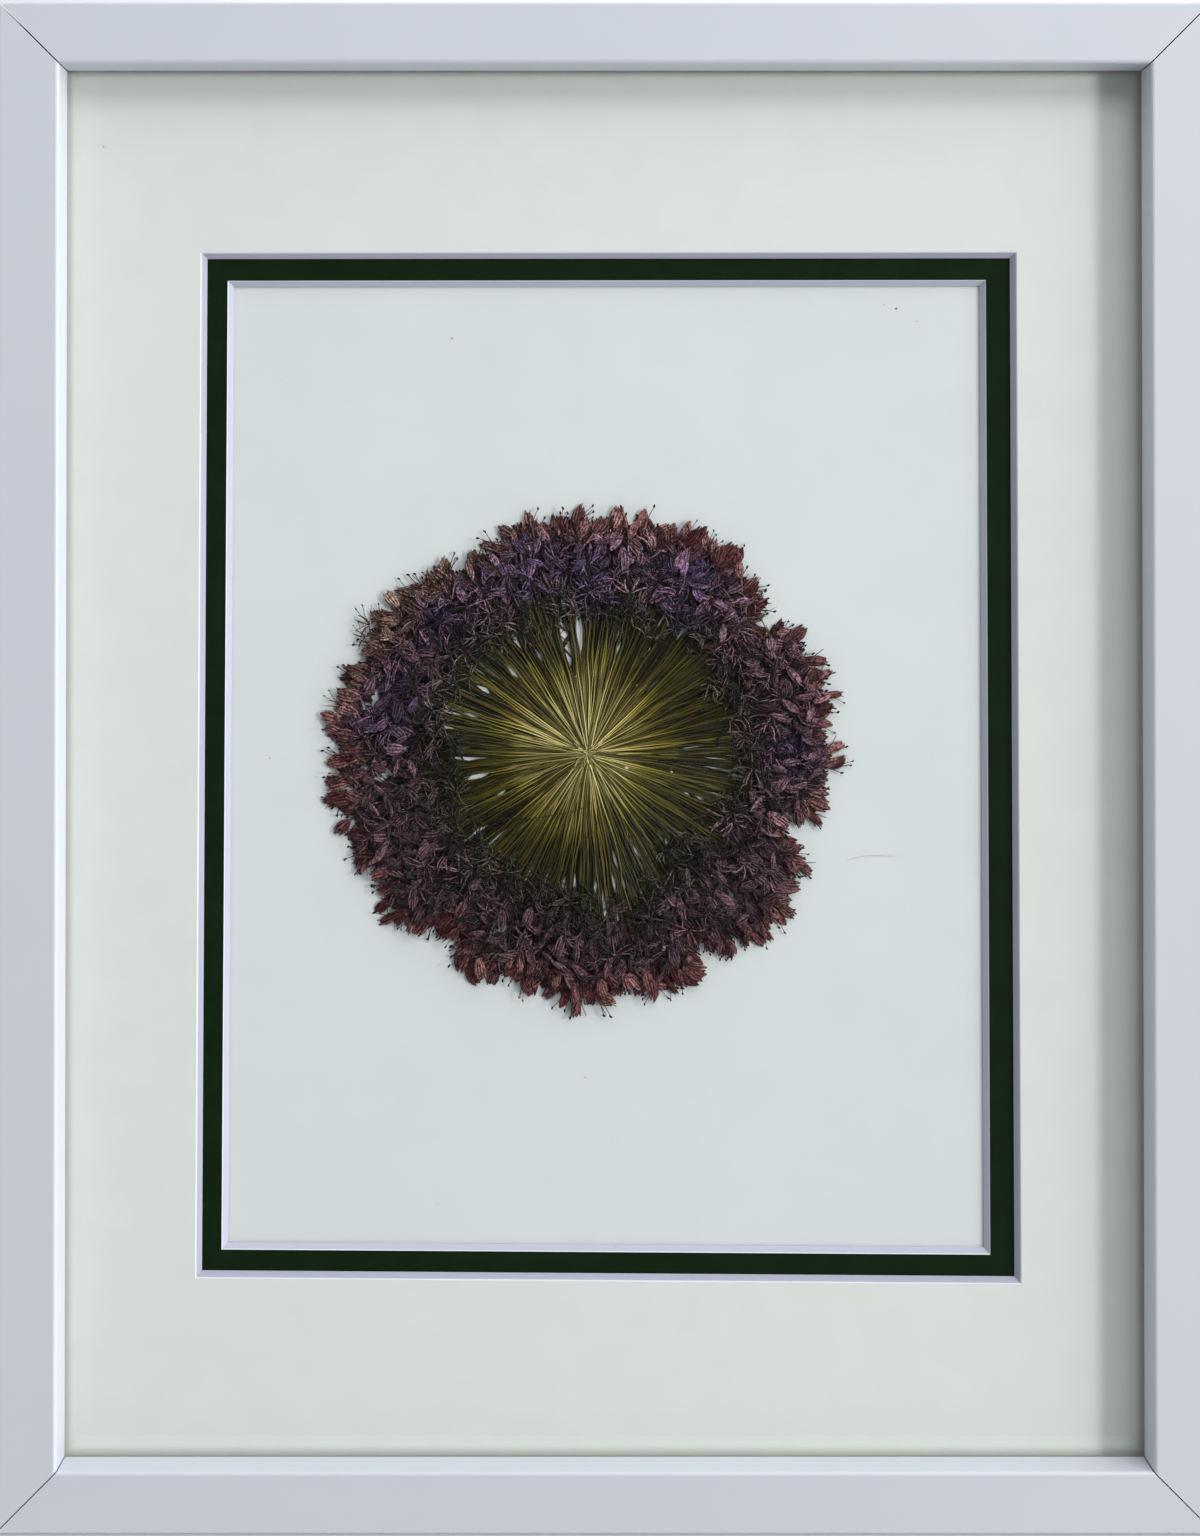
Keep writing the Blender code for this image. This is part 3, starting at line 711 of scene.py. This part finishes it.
def bed_florets(chance, count):
    """A closed bed of florets, spread evenly on the card under the others."""
    florets = []
    for number in range(count):
        angle = number * GOLDEN_ANGLE + chance.uniform(-0.01, 0.01)
        edge, inside = along_edge(RING_EDGE, angle), along_edge(RING_INSIDE, angle)
        inner_square, outer_square = (inside + 0.003) ** 2, (edge - 0.0066) ** 2
        radius = math.sqrt(inner_square + (outer_square - inner_square) * number / count)
        height, heading = chance.uniform(0.0002, 0.0009), chance.gauss(0, 0.7)
        kind, size = chance.randrange(len(CLOSED_KINDS)), chance.uniform(0.9, 1.1)
        florets.append(make_floret(chance, angle, radius, height, heading, kind, size, 0.08))
    return florets


def rim_florets(chance, count):
    """The florets whose tips make the ring's outer edge."""
    florets = []
    for number in range(count):
        angle = (number + chance.uniform(-0.4, 0.4)) / count * 2 * math.pi
        size = chance.uniform(0.75, 1.1)
        heading = chance.gauss(0, 0.5)
        past_edge = chance.random() < 0.14
        stray = chance.uniform(-0.0012, 0.0) if past_edge else chance.uniform(0.0010, 0.0058)
        radius = along_edge(RING_EDGE, angle) - FLORET_LENGTH * size * math.cos(heading) - stray
        height, kind = chance.uniform(0.0003, 0.0011), chance.randrange(len(CLOSED_KINDS))
        florets.append(make_floret(chance, angle, radius, height, heading, kind, size, 0.08))
    return florets


def splayed_florets(chance):
    """The few that lie wide open beside the ring."""
    return [
        make_floret(chance, math.radians(degrees), radius / 1000, 0.0012, 0.2, WIDE_OPEN_KIND, size, 0.05)
        for degrees, radius, size in SPLAYED_PLACES]


def mass_florets(chance, count):
    """The withered florets on top, turned every way."""
    florets = []
    while len(florets) < count:
        angle = chance.uniform(0, 2 * math.pi)
        edge, inside = along_edge(RING_EDGE, angle), along_edge(RING_INSIDE, angle)
        radius = math.sqrt(chance.uniform((inside + 0.001) ** 2, (edge - 0.0065) ** 2))
        outward = (radius - inside) / (edge - inside)
        if outward < 0.35 and chance.random() < 0.45:
            continue
        closed = chance.random() < outward + 0.15
        kinds = (0, len(CLOSED_KINDS)) if closed else (len(CLOSED_KINDS), len(KINDS))
        height, heading = chance.uniform(0.0009, 0.0024), chance.gauss(0, 1.0)
        kind, size = chance.randrange(*kinds), chance.uniform(0.62, 0.98)
        florets.append(make_floret(chance, angle, radius, height, heading, kind, size, 0.22))
    return florets


def inner_florets(chance, count):
    """Thin grey florets that lie out over the ends of the stalks."""
    florets = []
    for _ in range(count):
        angle = chance.uniform(0, 2 * math.pi)
        radius = along_edge(RING_INSIDE, angle) + chance.gauss(0.0012, 0.0028)
        height, heading = chance.uniform(0.0009, 0.0019), chance.gauss(0, 1.3)
        kind, size = chance.randrange(len(CLOSED_KINDS), len(KINDS)), chance.uniform(0.5, 0.8)
        florets.append(make_floret(chance, angle, radius, height, heading, kind, size, 0.2))
    return florets


def floret_material():
    """Dry tepals: grey-plum to violet inside the ring, red-brown to tan at its rim."""
    material, tree, shader = new_material("dry_floret", Roughness=0.5, Specular_IOR_Level=0.15)

    def read(name):
        return put(tree, "ShaderNodeAttribute", attribute_name=name).outputs["Fac"]

    def from_part(number):
        return fade(tree, part, number - 0.6, number - 0.4)

    place = put(tree, "ShaderNodeTexCoord").outputs["Object"]
    tint, warm, violet, part, across = (
        read(name) for name in ("tint", "warm", "violet", "part", "across"))
    # Each colour runs from nearly black for a low tone and shade value, which includes painted shade deep
    # in the pile, to pale.
    grey = blend_colours(tree, tint, (0.005, 0.007, 0.002, 1), (0.118, 0.108, 0.075, 1))
    plum = blend_colours(tree, tint, (0.018, 0.010, 0.013, 1), (0.205, 0.120, 0.145, 1))
    purple = blend_colours(tree, tint, (0.014, 0.009, 0.030, 1), (0.145, 0.098, 0.230, 1))
    red = blend_colours(tree, tint, (0.046, 0.009, 0.011, 1), (0.275, 0.158, 0.138, 1))
    tan = blend_colours(tree, tint, (0.046, 0.024, 0.015, 1), (0.300, 0.215, 0.165, 1))
    off_tan = put(tree, "ShaderNodeVectorMath", {0: place, 1: TAN_PLACE}, operation="DISTANCE")
    outer = blend_colours(tree, fade(tree, off_tan.outputs["Value"], 0.040, 0.015), red, tan)
    withered = blend_colours(tree, fade(tree, warm, 0.05, 0.50), grey, plum)
    inside = blend_colours(tree, violet, withered, purple)
    patch = reckon(tree, "MULTIPLY", reckon(tree, "SUBTRACT", mottle(tree, place, 55.0, 2.0), 0.5), 0.5)
    rim = fade(tree, reckon(tree, "ADD", warm, patch), 0.72, 0.95)
    flesh = blend_colours(tree, rim, inside, outer)
    # Each tepal is pale down its ridge and dark at its edges and along crinkle lines: painted highlight,
    # and painted shade where tepals meet and fold, over random flecks.
    inside_edge = fade(tree, reckon(tree, "ABSOLUTE", across), 0.92, 0.35)
    fleck = fade(tree, mottle(tree, place, 1300.0, 3.0), 0.25, 0.62)
    crinkle = reckon(tree, "ABSOLUTE", reckon(tree, "SUBTRACT", mottle(tree, place, 900.0, 1.0), 0.5))
    crease = reckon(tree, "MULTIPLY_ADD", fade(tree, crinkle, 0.0, 0.05), 0.8, 0.2)
    light = reckon(tree, "MULTIPLY", reckon(tree, "MULTIPLY", inside_edge, crease), fleck)
    striped = blend_colours(tree, light, (0.11, 0.08, 0.085, 1), (2.9, 2.7, 2.75, 1))
    tepal = blend_colours(tree, 1.0, flesh, striped, "MULTIPLY")
    thread = blend_colours(tree, rim, (0.022, 0.017, 0.020, 1), (0.075, 0.018, 0.018, 1))
    colour = blend_colours(tree, from_part(THREAD), tepal, thread)
    colour = blend_colours(tree, from_part(ANTHER), colour, (0.012, 0.009, 0.012, 1))
    colour = blend_colours(tree, from_part(OVARY), colour, (0.016, 0.017, 0.014, 1))
    feed(tree, shader, Base_Color=colour, Normal=bump(tree, light, 0.00012, 0.6))
    return material


def ring_tree(material, floret_shapes):
    """Florets set on points, pressed flat between the card and the glass.

    What would pass the card or the glass is squeezed to a tenth of its depth, so it keeps some thickness.
    """
    tree, given = new_tree("floret_ring", Room="NodeSocketFloat")
    shapes = put(tree, "GeometryNodeCollectionInfo", {
        "Collection": floret_shapes, "Separate Children": True, "Reset Children": True})
    size = named_value(tree, "size")
    set_out = put(tree, "GeometryNodeInstanceOnPoints", {
        "Points": given.outputs["Geometry"], "Instance": shapes.outputs[0], "Pick Instance": True,
        "Instance Index": named_value(tree, "kind", "INT"),
        "Rotation": named_value(tree, "turn", "FLOAT_VECTOR"),
        "Scale": put(tree, "ShaderNodeCombineXYZ", {"X": size, "Y": size, "Z": size}).outputs[0]})
    real = put(tree, "GeometryNodeRealizeInstances", {"Geometry": set_out.outputs[0]})
    place = put(tree, "GeometryNodeInputPosition").outputs[0]
    split = put(tree, "ShaderNodeSeparateXYZ", {0: place})
    height, room = split.outputs["Z"], given.outputs["Room"]
    squeezed = reckon(tree, "MULTIPLY", height, 0.1)
    over_card = reckon(tree, "MAXIMUM", height, reckon(tree, "ADD", squeezed, 0.00022))
    ceiling = reckon(tree, "ADD", squeezed, reckon(tree, "MULTIPLY_ADD", room, 0.9, -0.0003))
    under_glass = reckon(tree, "MINIMUM", over_card, ceiling)
    pressed = put(tree, "ShaderNodeClamp", {"Value": under_glass, "Min": 0.00005, "Max": room})
    flat = put(tree, "ShaderNodeCombineXYZ", {
        "X": split.outputs["X"], "Y": split.outputs["Y"], "Z": pressed.outputs[0]})
    moved = put(tree, "GeometryNodeSetPosition", {"Geometry": real.outputs[0], "Position": flat.outputs[0]})
    end_tree(tree, moved.outputs[0], material, False)
    return tree


floret_chance = random.Random(FLORET_SEED)
floret_shapes = bpy.data.collections.new("floret_kinds")
bpy.context.scene.collection.children.link(floret_shapes)
for number, (spread, narrow, stamens) in enumerate(KINDS):
    mesh = floret_kind(number, spread, narrow, stamens, floret_chance)
    floret_shapes.objects.link(bpy.data.objects.new(mesh.name, mesh))
ring = ring_tree(floret_material(), floret_shapes)
floret_pieces = []
for floret_name, florets in (
        ("florets_bed", bed_florets(floret_chance, BED_COUNT)),
        ("florets_rim", rim_florets(floret_chance, RIM_COUNT) + splayed_florets(floret_chance)),
        ("florets_mass", mass_florets(floret_chance, MASS_COUNT)),
        ("florets_inner", inner_florets(floret_chance, INNER_COUNT))):
    floret_pieces.append(grown(floret_name, floret_points(floret_name, florets), ring,
                               {"Room": FLOWER_ROOM}))
for shape in list(floret_shapes.objects):
    bpy.data.objects.remove(shape)
bpy.data.collections.remove(floret_shapes)
for piece in floret_pieces:
    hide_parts("flower_florets")

# Specks, crumbs and a hair
# Bits that broke off the flower: dark specks on the card and one on the mat, and pale crumbs on
# the stalks. One fine hair is caught on the card.

# Across and up from the flower's middle in mm, size in mm, height over the card in mm, and paleness.
SPECKS = (
    (-34.1, 104.0, 0.45, 0.1, 0.1), (-9.2, 75.3, 0.3, 0.1, 0.2), (11.7, 68.5, 0.3, 0.1, 0.3),
    (-79.8, -1.4, 0.4, 0.1, 0.2), (77.6, 111.5, 0.55, 0.1, 0.0), (22.5, 117.0, 0.3, 0.1, 0.4),
    (74.5, 112.5, 0.3, 0.1, 0.2), (82.8, 108.2, 0.35, 0.1, 0.3), (-77.1, 93.6, 0.3, 0.1, 0.2),
    (-0.6, -81.3, 0.4, 0.1, 0.2), (6.2, -97.4, 0.3, 0.1, 0.4), (-37.8, -113.0, 0.35, 0.1, 0.1),
    (-120.8, 151.4, 0.45, 3.42, 0.3), (9.7, -3.6, 1.0, 1.9, 1.0), (21.0, -4.7, 0.6, 1.3, 1.0),
    (-2.9, 19.2, 0.4, 1.2, 0.9), (7.4, 0.4, 0.7, 2.1, 0.0), (12.3, 17.0, 0.4, 1.1, 0.9))
HAIR_ROUTE = ((64.7, -27.0), (69.0, -25.9), (73.4, -25.8), (77.3, -26.0))
HAIR_RADIUS = 0.00005


def speck_material():
    """Dark brown bits of floret to pale crumbs of stalk. A bead's part says how pale it is."""
    material, tree, shader = new_material("specks", Roughness=0.7, Specular_IOR_Level=0.2)
    pale = put(tree, "ShaderNodeAttribute", attribute_name="part").outputs["Fac"]
    place = put(tree, "ShaderNodeTexCoord").outputs["Object"]
    dark = blend_colours(tree, mottle(tree, place, 1800.0), (0.025, 0.018, 0.014, 1), (0.12, 0.09, 0.07, 1))
    feed(tree, shader, Base_Color=blend_colours(tree, pale, dark, (0.62, 0.56, 0.36, 1)))
    return material


def hair_material():
    """Grey, a little uneven along its length."""
    material, tree, shader = new_material("hair", Roughness=0.5)
    shade = mottle(tree, stretched(tree, (1, 1, 1)), 300.0)
    feed(tree, shader, Base_Color=blend_colours(tree, shade, (0.34, 0.33, 0.32, 1), (0.52, 0.52, 0.51, 1)))
    return material


speck_shape = FloretShape()
for x, z, size, height, pale in SPECKS:
    speck_size = Vector((size / 2000, size / 2400, min(size / 3000, 0.0001)))
    speck_shape.add_bead(Vector((x / 1000, z / 1000, height / 1000)), speck_size, pale)
speck_tree, speck_given = new_tree("stand_up")
end_tree(speck_tree, speck_given.outputs["Geometry"], speck_material(), False)
specks = grown("specks", speck_shape.finished("speck_shapes"), speck_tree, {})
hair_strand = ([(x / 1000, z / 1000, 0.00008) for x, z in HAIR_ROUTE], HAIR_RADIUS, 0.5)
hair = grown("hair", strand_mesh("hair_line", [hair_strand]), sweep_tree("hair_sweep", hair_material()),
             {"Sides": 5, "Flatness": 1.0})

# Backing board
# Brown hardboard, pressed from wood fibre, cut to size and pushed in behind the card.

board_material, board_tree, board_shader = new_material("hardboard", Roughness=0.62, Specular_IOR_Level=0.3)
board_fibre = put(board_tree, "ShaderNodeGroup", {"Fibres": 420.0, "Mottle": 30.0}, node_tree=paper_fibre)
board_fleck = fade(board_tree, mottle(board_tree, stretched(board_tree, (1, 1, 1)), 800.0, 2.0), 0.60, 0.75)
board_brown = blend_colours(
    board_tree, fade(board_tree, board_fibre.outputs["Shade"], 0.32, 0.68), (0.27, 0.165, 0.085, 1),
    (0.19, 0.108, 0.052, 1))
feed(board_tree, board_shader, Normal=bump(board_tree, board_fibre.outputs["Relief"], 0.00005, 0.4),
     Base_Color=blend_colours(board_tree, board_fleck, board_brown, (0.36, 0.25, 0.14, 1)))
finish_node("backing_board", board_material)

# Points, hanger and bumpers
# Thin steel points shot into the rails hold the board. The toothed strip is brass-plated steel,
# nailed to the top rail, and two soft bumpers keep the bottom rail off the wall.


def sheet_metal(name, light, dark, roughness):
    """Rolled metal with faint lines along it and dull patches."""
    material, tree, shader = new_material(name, Metallic=1.0)
    patch = fade(tree, mottle(tree, stretched(tree, (1, 1, 1)), 350.0, 4.0), 0.4, 0.7)
    lines = mottle(tree, stretched(tree, (60, 900, 900)), 1.0, 3.0)
    dull = reckon(tree, "MULTIPLY_ADD", patch, 0.22, roughness)
    feed(tree, shader, Base_Color=blend_colours(tree, patch, light, dark), Roughness=dull,
         Normal=bump(tree, lines, 0.00001, 0.3))
    return material


point_steel = sheet_metal("point_steel", (0.60, 0.61, 0.62, 1), (0.42, 0.42, 0.42, 1), 0.30)
brassed_steel = sheet_metal("brassed_steel", (0.78, 0.58, 0.27, 1), (0.52, 0.36, 0.15, 1), 0.26)
for node_name in frame["nodes"]:
    if node_name.startswith("retaining_point") or node_name.startswith("hanger_nail"):
        finish_node(node_name, point_steel)
finish_node("hanger", brassed_steel)

rubber_material, rubber_tree, rubber_shader = new_material("bumper_rubber", Specular_IOR_Level=0.3)
rubber_mottle = mottle(rubber_tree, stretched(rubber_tree, (1, 1, 1)), 500.0, 4.0)
rubber_dust = fade(rubber_tree, rubber_mottle, 0.4, 0.75)
feed(rubber_tree, rubber_shader, Roughness=reckon(rubber_tree, "MULTIPLY_ADD", rubber_dust, 0.2, 0.65),
     Base_Color=blend_colours(rubber_tree, rubber_dust, (0.018, 0.018, 0.019, 1), (0.05, 0.048, 0.045, 1)))
for bumper_name in ("bumper_left", "bumper_right"):
    finish_node(bumper_name, rubber_material)

# Floor, lamps and camera
# A pale floor under the frame, two soft lamps from the right and from above, and a white room that is
# brighter on the right. It is dark right in front of the glass, so the glass shows no reflection there.

FLOOR_SIZE = 4.0
FLOOR_COLOUR = (0.46, 0.46, 0.46, 1)
LAMPS = {
    "key_lamp": {"place": (1.93, -1.56, 0.20), "size": 0.40, "power": 24.0, "colour": (1.0, 0.97, 0.93)},
    "top_lamp": {"place": (0.45, -1.05, 1.02), "size": 0.60, "power": 5.0, "colour": (0.97, 0.98, 1.0)},
}
ROOM_COLOUR = (0.95, 0.96, 1.0, 1)
ROOM_STRENGTH = 1.09
ROOM_LEAN = (1.10, 0.0, 0.40)
ROOM_LEAST = 0.52
DARK_START = math.cos(math.radians(52))
DARK_END = math.cos(math.radians(33))
DARK_LEFT = 0.03
CAMERA_PLACE = Vector((-0.0090, -0.4210, MIDDLE.z + 0.0553))
CAMERA_TILT = math.radians(0.38)
CAMERA_LENS = 38.39
CAMERA_SHIFT = (0.0208, -0.1565)

floor_material = new_material("studio_floor", Base_Color=FLOOR_COLOUR, Roughness=0.9)[0]
floor_mesh = bpy.data.meshes.new("floor")
floor_build = bmesh.new()
bmesh.ops.create_grid(floor_build, x_segments=1, y_segments=1, size=FLOOR_SIZE / 2,
                      matrix=Matrix.Translation((0, 0, cad_low.z)))
floor_build.to_mesh(floor_mesh)
floor_build.free()
floor_mesh.materials.append(floor_material)
floor = bpy.data.objects.new("floor", floor_mesh)
bpy.context.scene.collection.objects.link(floor)
floor.visible_diffuse = False
floor.visible_glossy = False
floor.visible_transmission = False

for lamp_name, lamp in LAMPS.items():
    lamp_data = bpy.data.lights.new(lamp_name, "AREA")
    lamp_data.shape = "DISK"
    lamp_data.size = lamp["size"]
    lamp_data.energy = lamp["power"]
    lamp_data.color = lamp["colour"]
    lamp_object = bpy.data.objects.new(lamp_name, lamp_data)
    lamp_object.location = MIDDLE + Vector(lamp["place"])
    lamp_object.rotation_euler = Vector(lamp["place"]).to_track_quat("Z", "Y").to_euler()
    bpy.context.scene.collection.objects.link(lamp_object)

room = bpy.data.worlds.new("room")
room.use_nodes = True
room_tree = room.node_tree
room_way = put(room_tree, "ShaderNodeTexCoord").outputs["Generated"]
facing, lean = (
    put(room_tree, "ShaderNodeVectorMath", {0: room_way, 1: way}, operation="DOT_PRODUCT").outputs["Value"]
    for way in ((0, -1, 0), ROOM_LEAN))
room_share = put(room_tree, "ShaderNodeMapRange", {
    "Value": facing, "From Min": DARK_START, "From Max": DARK_END, "To Min": 1.0, "To Max": DARK_LEFT},
    interpolation_type="SMOOTHSTEP").outputs[0]
side_share = reckon(room_tree, "MAXIMUM", reckon(room_tree, "ADD", lean, 1.0), ROOM_LEAST)
room_shape = reckon(room_tree, "MULTIPLY", room_share, side_share)
room_light = reckon(room_tree, "MULTIPLY", room_shape, ROOM_STRENGTH)
room_background = room_tree.nodes["Background"]
room_background.inputs["Color"].default_value = ROOM_COLOUR
room_tree.links.new(room_light, room_background.inputs["Strength"])
bpy.context.scene.world = room

camera_data = bpy.data.cameras.new("camera")
camera_data.lens = CAMERA_LENS
camera_data.shift_x, camera_data.shift_y = CAMERA_SHIFT
camera = bpy.data.objects.new("camera", camera_data)
camera.location = CAMERA_PLACE
camera.rotation_euler = (math.radians(90) + CAMERA_TILT, 0, 0)
bpy.context.scene.collection.objects.link(camera)
bpy.context.scene.camera = camera
bpy.context.scene.view_settings.view_transform = "Standard"
